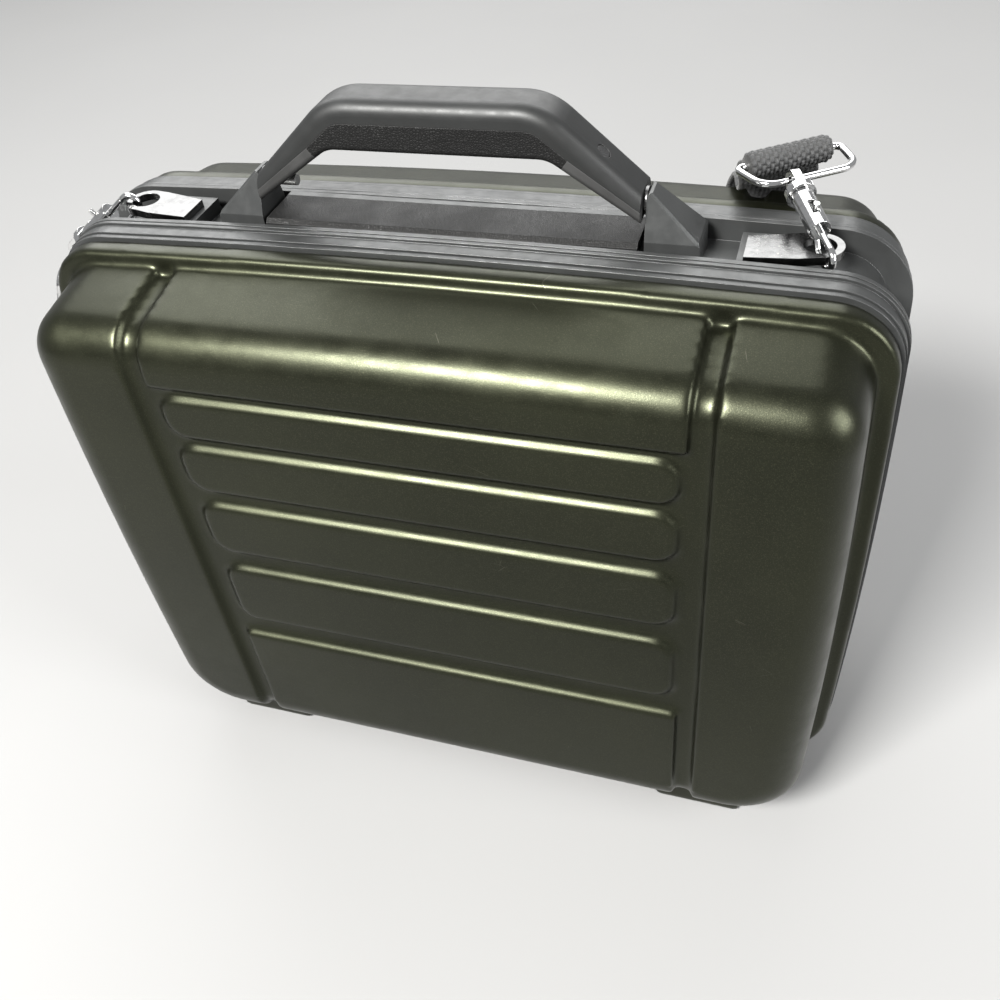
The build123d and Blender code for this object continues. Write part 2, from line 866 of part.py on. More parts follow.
# Posts that carry the handle
with BuildPart() as post_sides:
    with BuildSketch(Plane.YZ.offset(post_inner)):
        with BuildLine():
            Polyline(
                (-post_half_depth, seat_bottom),
                (-post_half_depth, case_top + post_foot),
                (-post_top_half, case_top + post_top),
                (post_top_half, case_top + post_top),
                (post_half_depth, case_top + post_foot),
                (post_half_depth, seat_bottom),
                close=True,
            )
        make_face()
    extrude(amount=post_length)
with BuildPart() as handle_post_right:
    with BuildSketch(Plane.XZ.offset(-post_half_depth)):
        with BuildLine():
            Polyline(
                (post_inner, seat_bottom),
                (post_inner, case_top + post_top - post_top_step),
                (post_inner + post_top_flat, case_top + post_top),
                (post_outer, case_top + post_foot),
                (post_outer, seat_bottom),
                close=True,
            )
        make_face()
    extrude(amount=2 * post_half_depth)
    add(post_sides.part, mode=Mode.INTERSECT)
    slanted = handle_post_right.faces().filter_by(lambda face: face.normal_at().X > 0.5)
    chamfer(slanted.filter_by(lambda face: face.normal_at().Z > 0.5).edges(), post_edge)
    rod_along_x(post_inner - 1, pivot_pin_outer, 0, pivot_z, pivot_pin_radius, mode=Mode.SUBTRACT)
    add(channel_core.part, mode=Mode.SUBTRACT)
with BuildPart() as handle_post_left:
    mirror(handle_post_right.part, about=Plane.YZ)

# Chrome lugs and their screws
lug_top = case_top - lug_top_drop
with BuildPart() as lug_right:
    with BuildSketch(Plane.XY.offset(lug_top - lug_thickness)):
        with BuildLine():
            Polyline(
                (lug_inner, -lug_near),
                (lug_shoulder, -lug_near_shoulder),
                (lug_ring_x, lug_ring_y - lug_ring_outer),
                (lug_ring_x, lug_ring_y + lug_ring_outer),
                (lug_shoulder, lug_far_shoulder),
                (lug_inner, lug_far_inner),
                close=True,
            )
        make_face()
        with Locations((lug_ring_x, lug_ring_y)):
            Circle(lug_ring_outer)
            Circle(lug_ring_hole, mode=Mode.SUBTRACT)
    extrude(amount=lug_thickness)
    for x, y in lug_screw_places:
        with Locations((x, y, case_top - lug_under + lug_screw_in_lug / 2)):
            Cylinder(lug_screw_core, lug_screw_in_lug, mode=Mode.SUBTRACT)
with BuildPart() as lug_left:
    mirror(lug_right.part, about=Plane.YZ)
with BuildPart() as lug_screws:
    shank_top = lug_under - lug_screw_in_lug
    for way in (-1, 1):
        for x, y in lug_screw_places:
            with Locations((way * x, y, case_top - (shank_top + lug_seat_bottom) / 2)):
                Cylinder(lug_screw_core, lug_seat_bottom - shank_top)
            with Locations((way * x, y, case_top - lug_seat_bottom - lug_screw_head / 2)):
                Cylinder(lug_screw_radius, lug_screw_head)

# Snap hook in its own frame
with BuildPart() as hook_body:
    with BuildLine(Plane.XZ) as hook_path:
        shoulder = FilletPolyline(
            (hook_arm_root, hook_barrel_start + hook_arm_rise),
            (2 * rod_offset, hook_barrel_start - hook_arm_knee),
            (2 * rod_offset, 0),
            radius=hook_arm_bend,
        )
        ThreePointArc((2 * rod_offset, 0), (rod_offset, -rod_offset), (0, 0))
        Line((0, 0), (0, bolt_start - hook_nose_gap))
    with BuildSketch(Plane(origin=shoulder @ 0, z_dir=shoulder % 0)):
        Circle(hook_wire_radius)
    sweep(path=hook_path.line)
    with Locations((0, 0, (hook_barrel_start + hook_barrel_end) / 2)):
        Cylinder(hook_barrel_radius, hook_barrel_end - hook_barrel_start)
    with Locations((0, 0, (hook_floor + hook_cap_start) / 2)):
        Cylinder(hook_bore_radius, hook_cap_start - hook_floor, mode=Mode.SUBTRACT)
    with Locations((0, 0, (hook_barrel_start + hook_floor) / 2)):
        Cylinder(bolt_radius + bolt_play, hook_floor - hook_barrel_start + 0.2, mode=Mode.SUBTRACT)
    with Locations((0, 0, (hook_cap_start + hook_barrel_end) / 2)):
        Cylinder(
            swivel_pin_radius + swivel_play,
            hook_barrel_end - hook_cap_start + 0.2,
            mode=Mode.SUBTRACT,
        )
    slot_low = (piston_start + piston_end) / 2 - slot_half - slot_play
    slot_high = (piston_start + piston_end) / 2 + bolt_travel + slot_half + slot_play
    box_between(
        (-hook_barrel_radius - 1, -slot_half, slot_low), (0, slot_half, slot_high), mode=Mode.SUBTRACT
    )
with BuildPart() as hook_gate:
    with Locations((0, 0, (bolt_start + piston_start) / 2)):
        Cylinder(bolt_radius, piston_start - bolt_start)
    with Locations((0, 0, (piston_start + piston_end) / 2)):
        Cylinder(piston_radius, piston_end - piston_start)
    with Locations((-knob_reach / 2, 0, (piston_start + piston_end) / 2)):
        Cylinder(knob_radius, knob_reach, rotation=(0, 90, 0))
with BuildPart() as hook_spring:
    spring_height = swivel_head_start - piston_end - spring_wire - 2 * spring_end_gap
    with BuildLine() as gate_coil:
        Helix(spring_height / spring_turns, spring_height, spring_radius)
    with BuildSketch(Plane(origin=gate_coil.line @ 0, z_dir=gate_coil.line % 0)):
        Circle(spring_wire / 2)
    sweep(path=gate_coil.line)
with BuildPart() as hook_swivel:
    with Locations((0, 0, swivel_head_start + swivel_head_height / 2)):
        Cylinder(swivel_head_radius, swivel_head_height)
    with Locations((0, 0, (swivel_head_start + cap_start) / 2)):
        Cylinder(swivel_pin_radius, cap_start - swivel_head_start + 0.2)
    with Locations((0, 0, (cap_start + cap_end) / 2)):
        Cylinder(cap_radius, cap_end - cap_start)
    chamfer(hook_swivel.edges().filter_by_position(Axis.Z, cap_end - 0.01, cap_end + 0.01), cap_chamfer)
    with BuildSketch(Plane.XZ.offset(-eye_half_thickness)):
        with Locations((0, eye_height)):
            Circle(eye_radius)
        with Locations((0, (cap_end + eye_height) / 2)):
            Rectangle(2 * eye_radius, eye_height - cap_end + 0.2)
        with Locations((0, eye_height)):
            Circle(eye_hole, mode=Mode.SUBTRACT)
    extrude(amount=2 * eye_half_thickness)

# D-ring in its own frame, with the folded end of the strap round its bar
with BuildPart() as d_ring:
    with BuildSketch(Plane.XZ) as ring_shape:
        with BuildLine():
            Polyline(
                (-ring_bar_half, 0),
                (ring_bar_half, 0),
                (ring_curve_half, ring_depth),
                (-ring_curve_half, ring_depth),
                close=True,
            )
        make_face()
        fillet(ring_shape.vertices().sort_by(Axis.Y)[:2], ring_near_radius)
        fillet(ring_shape.vertices().sort_by(Axis.Y)[-2:], ring_far_radius)
    ring_path = ring_shape.sketch.faces()[0].outer_wire()
    with BuildSketch(Plane(origin=ring_path @ 0, z_dir=ring_path % 0)) as ring_section:
        Circle(ring_wire_radius)
    sweep(ring_section.sketch, path=ring_path)
with BuildPart() as strap_loop:
    rod_along_x(-roll_half, roll_half, 0, 0, roll_radius)
    rod_along_x(-roll_half - 1, roll_half + 1, 0, 0, ring_wire_radius, mode=Mode.SUBTRACT)


def hook_plane(rod, way):
    """Frame of a snap hook whose arm passes under the lug's rod."""
    z_dir = Vector(*way).normalized()
    down = Vector(0, 0, -1)
    x_dir = (down - z_dir * down.dot(z_dir)).normalized()
    at_rod = Vector(rod[0], rod[1], case_top - rod_drop)
    return Plane(origin=at_rod - x_dir * rod_offset, x_dir=x_dir, z_dir=z_dir)


def ring_plane(hook, bar_way, depth_way, slide):
    """Frame of a D-ring that hangs in the swivel's eye."""
    depth_dir = Vector(*depth_way).normalized()
    bar_dir = Vector(*bar_way)
    bar_dir = (bar_dir - depth_dir * bar_dir.dot(depth_dir)).normalized()
    held = hook.from_local_coords(Vector(0, 0, eye_height + ring_hang))
    return Plane(origin=held - depth_dir * ring_depth + bar_dir * slide, x_dir=bar_dir, z_dir=depth_dir)


right_hook = hook_plane(right_rod, right_hook_way)
left_hook = hook_plane(left_rod, left_hook_way)
turn = radians(right_ring_turn)
right_ring = ring_plane(
    right_hook, (cos(turn), sin(turn), 0), (sin(turn), -cos(turn), 0), right_ring_slide
)
left_ring = ring_plane(left_hook, left_bar_way, [-value for value in left_ring_lean], 0)

# Shoulder strap: places in X, Y and height, and the turn of its width about Z
drop_start = right_ring.origin
rise_end = left_ring.origin
strap_stations = (
    (drop_start.X - 4, drop_start.Y + 8, drop_start.Z - 1.0, 38),
    (drop_start.X - 10, half_depth - 21, case_top - 7, 30),
    (drop_start.X - 17, half_depth - 3, case_top - 13, 20),
    (drop_start.X - 21, half_depth + 12, case_top - 38, 12),
    (drop_start.X - 21, half_depth + 16, 0.72 * case_top, 8),
    (drop_start.X - 16, half_depth + 19, 0.47 * case_top, 18),
    (drop_start.X - 11, half_depth + 22, 0.22 * case_top, 48),
    (drop_start.X - 18, half_depth + 25, 0.08 * case_top, 74),
    (drop_start.X - 42, strap_behind, strap_floor + 1.5, 88),
    (drop_start.X - 72, strap_behind, strap_floor, 90),
    (-0.68 * half_width, strap_behind, strap_floor, 90),
    (-0.82 * half_width, strap_behind - 1, strap_floor + 4, 90),
    (-strap_beside + 21, strap_behind - 5, strap_floor + 24, 90),
    (-strap_beside + 6, strap_behind - 17, strap_floor + 56, 90),
    (-strap_beside + 1, 0.77 * half_depth, 0.36 * case_top, 90),
    (-strap_beside, 0.31 * half_depth, 0.578 * case_top, 90),
    (rise_end.X, 2, rise_end.Z - 41, 90),
    (rise_end.X - 1.5, rise_end.Y + 2.5, rise_end.Z - 12, 90),
)


def strap_sections(stations):
    """Section faces of the strap, each square to the way it runs."""
    points = [Vector(x, y, z) for x, y, z, _ in stations]
    faces = []
    for number, point in enumerate(points):
        before = points[max(number - 1, 0)]
        after = points[min(number + 1, len(points) - 1)]
        way = (after - before).normalized()
        turn_about = radians(stations[number][3])
        width_dir = Vector(cos(turn_about), sin(turn_about), 0)
        width_dir = (width_dir - way * width_dir.dot(way)).normalized()
        with BuildSketch(Plane(origin=point, x_dir=width_dir, z_dir=way)) as section:
            Rectangle(strap_width, strap_thickness)
        faces.append(section.sketch)
    return faces


with BuildPart() as shoulder_strap:
    loft(strap_sections(strap_stations), ruled=True)
with BuildPart() as strap_adjuster:
    hole_half = strap_width / 2 + adjuster_gap
    hole_high = strap_floor + strap_thickness / 2 + adjuster_gap
    hole_low = strap_floor - strap_thickness / 2 - adjuster_gap
    box_between(
        (-adjuster_half_length, strap_behind - hole_half - adjuster_wall, hole_low - adjuster_wall),
        (adjuster_half_length, strap_behind + hole_half + adjuster_wall, hole_high + adjuster_wall),
    )
    box_between(
        (-adjuster_half_length - 1, strap_behind - hole_half, hole_low),
        (adjuster_half_length + 1, strap_behind + hole_half, hole_high),
        mode=Mode.SUBTRACT,
    )

export("base_shell", base_shell.part)
export("lid_shell", lid_shell.part)
export("base_frame", base_frame.part)
export("lid_frame", lid_frame_slotted.part)
export("rim_seal", rim_seal.part)
export("base_foam", base_foam.part)
export("lid_foam", lid_foam.part)
export("hinge_leaves_base", hinge_leaves_base.part)
export("hinge_leaves_lid", hinge_leaves_lid.part)
export("hinge_pins", hinge_pins.part)
export("latch_lever", latch_lever.part)
export("latch_brackets", latch_brackets.part)
export("latch_pin", latch_pin.part)
export("latch_rail", latch_rail.part)
export("latch_keepers", latch_keepers.part)
export("latch_spring", spring_place.location * latch_spring.part)
export("handle_body", handle_body.part)
export("handle_grip", handle_grip.part)
export("handle_cover_right", handle_cover_right.part)
export("handle_cover_left", handle_cover_left.part)
export("handle_screws", handle_screws.part)
export("handle_pins", handle_pins.part)
export("handle_washers", handle_washers.part)
export("handle_post_right", handle_post_right.part)
export("handle_post_left", handle_post_left.part)
export("lug_right", lug_right.part)
export("lug_left", lug_left.part)
export("lug_screws", lug_screws.part)
for side_name, hook, ring in (("right", right_hook, right_ring), ("left", left_hook, left_ring)):
    spring_offset = Location((0, 0, piston_end + spring_wire / 2 + spring_end_gap))
    export(f"hook_body_{side_name}", hook.location * hook_body.part)
    export(f"hook_gate_{side_name}", hook.location * hook_gate.part)
    export(f"hook_spring_{side_name}", hook.location * (spring_offset * hook_spring.part))
    export(f"hook_swivel_{side_name}", hook.location * hook_swivel.part)
    export(f"d_ring_{side_name}", ring.location * d_ring.part)
    export(f"strap_loop_{side_name}", ring.location * strap_loop.part)
export("shoulder_strap", shoulder_strap.part)
export("strap_adjuster", strap_adjuster.part)
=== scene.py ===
import math

import bpy
import numpy as np
from mathutils import Matrix, Vector


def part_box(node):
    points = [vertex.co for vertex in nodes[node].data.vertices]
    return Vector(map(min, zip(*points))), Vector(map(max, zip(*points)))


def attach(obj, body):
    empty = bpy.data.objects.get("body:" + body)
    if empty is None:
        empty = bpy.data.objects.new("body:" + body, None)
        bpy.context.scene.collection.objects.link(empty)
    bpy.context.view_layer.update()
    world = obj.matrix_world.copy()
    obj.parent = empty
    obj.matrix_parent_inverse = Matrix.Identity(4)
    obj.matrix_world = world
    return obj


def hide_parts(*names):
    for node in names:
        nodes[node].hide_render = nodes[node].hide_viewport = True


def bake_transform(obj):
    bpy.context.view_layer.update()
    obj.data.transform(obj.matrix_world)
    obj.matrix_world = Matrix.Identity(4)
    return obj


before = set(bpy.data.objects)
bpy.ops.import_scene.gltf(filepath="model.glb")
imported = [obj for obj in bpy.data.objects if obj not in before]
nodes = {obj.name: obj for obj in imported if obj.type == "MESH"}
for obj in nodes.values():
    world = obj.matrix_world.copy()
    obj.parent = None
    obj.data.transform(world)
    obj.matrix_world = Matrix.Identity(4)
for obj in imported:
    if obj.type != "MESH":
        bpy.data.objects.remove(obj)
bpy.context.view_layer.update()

# The CAD case, without its handle. All lengths here are in metres
CASE_TOP = 0.322
HALF_WIDTH = 0.205
HALF_DEPTH = 0.091

# Camera, solved from the photograph's edges: its axes in the world, its place and its lens
CAMERA_RIGHT = Vector((0.95153694, 0.2936247, -0.0914439))
CAMERA_DOWN = Vector((0.13860202, -0.67488396, -0.7247904))
CAMERA_AHEAD = Vector((-0.27453039, 0.67699053, -0.68287399))
CAMERA_PLACE = (0.16532, -0.39221, CASE_TOP + 0.21968)
CAMERA_LENS_MM = 36.5565
CAMERA_SENSOR_MM = 36.0
CAMERA_REACH = 50.0

# Studio: area lights, surroundings and floor
LIGHTS = (
    # name, place, aim, width, height, watts, colour
    ("key", (-0.57, -1.44, 1.74), (0, -0.08, 0.3), 0.7, 0.45, 205.0, (1.0, 0.99, 0.96)),
    ("behind", (-0.6, 1.55, 1.7), (0, 0, 0.3), 2.6, 1.8, 76.0, (1.0, 1.0, 0.99)),
    ("right", (2.2, -0.4, 1.2), (0, 0, 0.2), 1.2, 1.2, 85.0, (1.0, 1.0, 0.99)),
)
SURROUNDINGS = (0.80, 0.81, 0.82, 1)
SURROUNDINGS_STRENGTH = 0.52
FLOOR_SIZE = 14.0
FLOOR_GREYS = (0.188, 0.192)

# Strap and its fittings
STRAP_WIDTH = 0.038
STRAP_THICKNESS = 0.0026
STRAP_FLOOR = 0.0036
STRAP_BEHIND = HALF_DEPTH + 0.026
STRAP_BESIDE = HALF_WIDTH + 0.008
RIGHT_BAR = Vector((0.142111, 0.052102, 0.333201))
RIGHT_BAR_WAY = Vector((0.829038, 0.559193, 0.0))
RIGHT_TAIL_WAY = (-0.559, 0.829, -0.25)
LEFT_BAR = Vector((-0.213630, -0.007609, 0.275373))
LEFT_BAR_WAY = Vector((-0.0367, 0.9946, 0.0964))
LEFT_TAIL_WAY = (-0.1, 0.0, -1.0)
# One knot of the webbing's weave, along and across the strap, and how high it stands
KNOT_LENGTH = 0.0034
KNOT_WIDTH = STRAP_WIDTH / 18
KNOT_HEIGHT = 0.00045
KNOT_STEPS = 4
# Nudge that keeps a knot's own edge from counting to the knot before it
KNOT_NUDGE = 0.001
KNOT_ROUNDNESS = 0.6
# The webbing thins over the outer part of its width, to half its thickness at the edge
EDGE_START = 0.93
EDGE_THINNING = 0.5
# Steps that measure the smooth line between two stations
SPAN_STEPS = 200
# Folded end: radius, how deep its weave sits and stands, and its knots around and along
ROLL_RADIUS = 0.0052
ROLL_HALF = 0.0195
ROLL_SINK = 0.0001
ROLL_RELIEF = 0.0010
ROLL_KNOTS = 10
ROLL_STEPS_AROUND = 8
ROLL_STEPS_ALONG = 6
# It narrows over the last tenth at each end, and bulges towards its tail
ROLL_END_START = 0.9
ROLL_END_NARROWING = 0.14
ROLL_BULGE = 0.18
# Rows where the strap's short pieces by the ring end
STRAP_JOINS = (14, 28)
# Lengths of webbing in the strap's two halves, as cut
RIGHT_CUT = 0.470
LEFT_CUT = 0.485

# Mouldings: size of their remeshing and rounds of smoothing
VOXEL = 0.0014
ROUNDS = 12
SMOOTHING = 0.5
BASE_FOAM_VOXEL, BASE_FOAM_ROUNDS = 0.0030, 8
LID_FOAM_VOXEL, LID_FOAM_ROUNDS = 0.0026, 6
# Dimples pressed into the lid's foam, and the flat rim that they leave and fade in from
DIMPLE_PITCH = 0.030
DIMPLE_DEPTH = 0.011
DIMPLE_RIM = 0.022
DIMPLE_FADE = 0.010
FOAM_FACE_BAND = 0.004

# Range of a noise texture that most patches of colour or gloss are taken from
PATCHY = (0.3, 0.7)
# Turn between a softened and a true normal that counts as an edge, as 1 minus their cosine
EDGE_TURN = (0.02, 0.25)
BEVEL_SAMPLES = 6


def place_camera():
    data = bpy.data.cameras.new("photo_camera")
    data.sensor_width = CAMERA_SENSOR_MM
    data.lens = CAMERA_LENS_MM
    data.clip_end = CAMERA_REACH
    camera = bpy.data.objects.new("photo_camera", data)
    bpy.context.scene.collection.objects.link(camera)
    turn = Matrix((CAMERA_RIGHT, -CAMERA_DOWN, -CAMERA_AHEAD)).transposed()
    camera.matrix_world = Matrix.Translation(CAMERA_PLACE) @ turn.to_4x4()
    bpy.context.scene.camera = camera


class Shader:
    """One material with a principled surface, and short ways to wire nodes into it."""

    def __init__(self, name):
        self.material = bpy.data.materials.new(name)
        self.material.use_nodes = True
        self.tree = self.material.node_tree
        self.tree.nodes.clear()
        self.surface = self.new("ShaderNodeBsdfPrincipled")
        out = self.new("ShaderNodeOutputMaterial")
        self.tree.links.new(self.surface.outputs[0], out.inputs["Surface"])
        self.place = self.new("ShaderNodeTexCoord").outputs["Object"]

    def new(self, kind, **values):
        node = self.tree.nodes.new(kind)
        for key, value in values.items():
            setattr(node, key, value)
        return node

    def feed(self, socket, value):
        if isinstance(value, bpy.types.NodeSocket):
            self.tree.links.new(value, socket)
        else:
            socket.default_value = value

    def set(self, **values):
        """Feeds the surface's sockets, named with underscores for spaces."""
        for key, value in values.items():
            self.feed(self.surface.inputs[key.replace("_", " ")], value)

    def scaled(self, vector, size):
        node = self.new("ShaderNodeMapping")
        self.feed(node.inputs["Vector"], vector)
        node.inputs["Scale"].default_value = size
        return node.outputs[0]

    def noise(self, scale, detail=2.0, rough=0.5, vector=None, distortion=0.0):
        node = self.new("ShaderNodeTexNoise")
        self.feed(node.inputs["Vector"], vector or self.place)
        node.inputs["Scale"].default_value = scale
        node.inputs["Detail"].default_value = detail
        node.inputs["Roughness"].default_value = rough
        node.inputs["Distortion"].default_value = distortion
        return node.outputs["Fac"]

    def cells(self, scale, feature="F1", vector=None):
        node = self.new("ShaderNodeTexVoronoi", feature=feature)
        self.feed(node.inputs["Vector"], vector or self.place)
        node.inputs["Scale"].default_value = scale
        return node.outputs["Distance"]

    def math(self, operation, a, b=0.0):
        node = self.new("ShaderNodeMath", operation=operation)
        self.feed(node.inputs[0], a)
        self.feed(node.inputs[1], b)
        return node.outputs[0]

    def ramp(self, value, low, high, to_low=0.0, to_high=1.0):
        node = self.new("ShaderNodeMapRange", interpolation_type="SMOOTHSTEP")
        self.feed(node.inputs["Value"], value)
        ends = {"From Min": low, "From Max": high, "To Min": to_low, "To Max": to_high}
        for key, number in ends.items():
            self.feed(node.inputs[key], number)
        return node.outputs[0]

    def mix(self, share, a, b):
        node = self.new("ShaderNodeMix", data_type="RGBA")
        self.feed(node.inputs["Factor"], share)
        colours = [socket for socket in node.inputs if socket.type == "RGBA"]
        self.feed(colours[0], a)
        self.feed(colours[1], b)
        return [socket for socket in node.outputs if socket.type == "RGBA"][0]

    def bump(self, height, distance, strength=1.0, normal=None):
        node = self.new("ShaderNodeBump")
        self.feed(node.inputs["Height"], height)
        node.inputs["Distance"].default_value = distance
        node.inputs["Strength"].default_value = strength
        if normal is not None:
            self.feed(node.inputs["Normal"], normal)
        return node.outputs[0]

    def soft_edges(self, radius):
        node = self.new("ShaderNodeBevel", samples=BEVEL_SAMPLES)
        node.inputs["Radius"].default_value = radius
        return node.outputs[0]

    def edge_mask(self, radius):
        """1 along edges and 0 on flats, from how far a softened normal leaves the true one."""
        soft = self.soft_edges(radius)
        true = self.new("ShaderNodeNewGeometry").outputs["True Normal"]
        dot = self.new("ShaderNodeVectorMath", operation="DOT_PRODUCT")
        self.feed(dot.inputs[0], soft)
        self.feed(dot.inputs[1], true)
        return self.ramp(self.math("SUBTRACT", 1.0, dot.outputs["Value"]), *EDGE_TURN)


def grey(value):
    return (value, value, value, 1.0)


def shell_paint():
    """Olive metallic paint in soft clouds, with flecks, faint scratches and a fine grain."""
    olives = ((0.0190, 0.0205, 0.0130, 1), (0.0240, 0.0258, 0.0158, 1))
    fleck_colour = (0.056, 0.057, 0.036, 1)
    scratch_colour = (0.16, 0.155, 0.12, 1)
    s = Shader("olive_shell_paint")
    cloud = s.noise(9.0, detail=3.0)
    fleck = s.noise(2600.0, detail=1.0)
    colour = s.mix(s.ramp(cloud, *PATCHY), *olives)
    colour = s.mix(s.ramp(fleck, 0.52, 0.72, to_high=0.5), colour, fleck_colour)
    stretched = s.scaled(s.place, (3.0, 1.0, 9.0))
    line = s.cells(9.0, "DISTANCE_TO_EDGE", vector=stretched)
    where = s.ramp(s.noise(46.0), 0.64, 0.70)
    scratch = s.math("MULTIPLY", s.ramp(line, 0.0, 0.004, 1.0, 0.0), where)
    colour = s.mix(s.math("MULTIPLY", scratch, 0.4), colour, scratch_colour)
    rough = s.ramp(s.noise(70.0, detail=4.0, rough=0.6), *PATCHY, to_low=0.31, to_high=0.38)
    height = s.math("ADD", s.noise(1500.0), s.math("MULTIPLY", s.noise(420.0), 0.6))
    normal = s.bump(height, 0.00003, strength=0.6)
    s.set(Base_Color=colour, Metallic=0.9, Roughness=rough, Normal=normal)
    return s.material


def frame_plastic(name, base, metallic, rough_low, rough_high):
    """Grey satin plastic, paler in patches along its edges: partly worn, partly a painted
    highlight.
    """
    dark = (base * 0.93, base * 0.96, base * 0.96, 1)
    light = (base * 1.10, base * 1.14, base * 1.15, 1)
    # Paler edge colour: worn plastic and also a painted highlight along the edge lines
    worn_and_highlit_edge = (base * 2.2, base * 2.2, base * 2.25, 1)
    s = Shader(name)
    colour = s.mix(s.ramp(s.noise(24.0, detail=3.0), *PATCHY), dark, light)
    patches = s.ramp(s.noise(90.0, detail=3.0), 0.35, 0.65, 0.3, 0.95)
    # Patchy mask along the edges for that colour: part worn plastic, part painted highlight
    edge_wear_and_highlight = s.math("MULTIPLY", s.edge_mask(0.0005), patches)
    colour = s.mix(edge_wear_and_highlight, colour, worn_and_highlit_edge)
    rough = s.ramp(s.noise(160.0, detail=4.0, rough=0.6), *PATCHY, rough_low, rough_high)
    normal = s.bump(s.noise(1800.0), 0.00003, strength=0.6, normal=s.soft_edges(0.00045))
    s.set(Base_Color=colour, Metallic=metallic, Roughness=rough, Normal=normal)
    s.surface.inputs["Specular IOR Level"].default_value = 0.35
    return s.material


def leather_grain(name, base, pebble, depth, rough, metallic):
    """Dark skin of small pebbles between creases, paler where hands have worn it, with painted
    shade in the creases and a painted highlight along its edges.
    """
    s = Shader(name)
    warp = s.new("ShaderNodeTexNoise")
    s.feed(warp.inputs["Vector"], s.place)
    warp.inputs["Scale"].default_value = 500.0
    offset = s.new("ShaderNodeVectorMath", operation="SCALE")
    s.feed(offset.inputs[0], warp.outputs["Color"])
    offset.inputs["Scale"].default_value = 0.0008
    vector = s.new("ShaderNodeVectorMath", operation="ADD")
    s.feed(vector.inputs[0], s.place)
    s.feed(vector.inputs[1], offset.outputs[0])
    creases = s.cells(pebble, "DISTANCE_TO_EDGE", vector=vector.outputs[0])
    fine = s.math("MULTIPLY", warp.outputs["Fac"], 0.35)
    height = s.math("ADD", s.ramp(creases, 0.0, 0.22), fine)
    worn = s.ramp(s.noise(40.0, detail=3.0), 0.35, 0.7)
    colour = s.mix(worn, grey(base * 0.85), grey(base * 1.3))
    # Darker down in the creases: painted shade
    colour = s.mix(s.ramp(creases, 0.0, 0.1, 0.5, 0.0), colour, grey(base * 0.4))
    # Paler along the edges: a painted highlight
    edges = s.math("MULTIPLY", s.edge_mask(0.0008), 0.55)
    colour = s.mix(edges, colour, grey(min(base * 7.0, 0.4)))
    s.set(
        Base_Color=colour,
        Metallic=metallic,
        Roughness=s.ramp(worn, 0.0, 1.0, rough + 0.06, rough - 0.06),
        Normal=s.bump(height, depth, normal=s.soft_edges(0.0006)),
    )
    s.surface.inputs["Specular IOR Level"].default_value = 0.12
    return s.material


def matte_black():
    s = Shader("matte_black_trim")
    colour = s.mix(s.ramp(s.noise(60.0), *PATCHY), grey(0.010), grey(0.018))
    normal = s.bump(s.noise(2200.0), 0.00003, strength=0.6, normal=s.soft_edges(0.0006))
    s.set(Base_Color=colour, Roughness=0.6, Normal=normal)
    return s.material


def chrome(name, base, rough_low, rough_high, dents):
    """Polished metal with smears and hairlines, and with dents also rippled and spotted."""
    s = Shader(name)
    smear = s.ramp(s.noise(120.0, detail=4.0, rough=0.6), 0.35, 0.7, rough_low, rough_high)
    clouds = s.ramp(s.noise(300.0, detail=3.0), 0.45, 0.75)
    colour = s.mix(clouds, grey(base), grey(base * 0.82))
    hairline = s.noise(60.0, vector=s.scaled(s.place, (60.0, 6.0, 6.0)))
    height = s.math("MULTIPLY", hairline, 0.1)
    if dents:
        ripple = s.noise(150.0, distortion=1.4)
        height = s.math("ADD", height, s.math("MULTIPLY", ripple, dents))
        spots = s.ramp(s.noise(500.0, detail=3.0, rough=0.7), 0.62, 0.74, to_high=0.5)
        colour = s.mix(spots, colour, (0.30, 0.285, 0.25, 1))
    s.set(
        Base_Color=colour,
        Metallic=1.0,
        Roughness=smear,
        Normal=s.bump(height, 0.0004, strength=0.5, normal=s.soft_edges(0.0003)),
    )
    return s.material


def satin_steel(name, low, high):
    s = Shader(name)
    brushed = s.noise(40.0, detail=3.0, vector=s.scaled(s.place, (4.0, 90.0, 90.0)))
    colour = s.mix(s.ramp(brushed, *PATCHY), grey(low), grey(high))
    s.set(
        Base_Color=colour,
        Metallic=1.0,
        Roughness=s.ramp(brushed, *PATCHY, to_low=0.26, to_high=0.40),
        Normal=s.bump(brushed, 0.00002, strength=0.4, normal=s.soft_edges(0.0003)),
    )
    return s.material


def foam_material():
    s = Shader("charcoal_foam")
    pores = s.cells(1400.0)
    # Darker in the pores: painted shade
    colour = s.mix(s.ramp(pores, 0.1, 0.6), grey(0.018), grey(0.05))
    dust = s.ramp(s.noise(14.0, detail=3.0), *PATCHY, to_high=0.4)
    colour = s.mix(dust, colour, grey(0.07))
    s.set(Base_Color=colour, Roughness=0.95, Normal=s.bump(pores, 0.0003, strength=0.8))
    s.surface.inputs["Sheen Weight"].default_value = 0.25
    return s.material


def rubber():
    s = Shader("seal_rubber")
    colour = s.mix(s.ramp(s.noise(200.0), *PATCHY), grey(0.012), grey(0.024))
    normal = s.bump(s.noise(900.0), 0.00004, strength=0.5)
    s.set(Base_Color=colour, Roughness=0.7, Normal=normal)
    return s.material


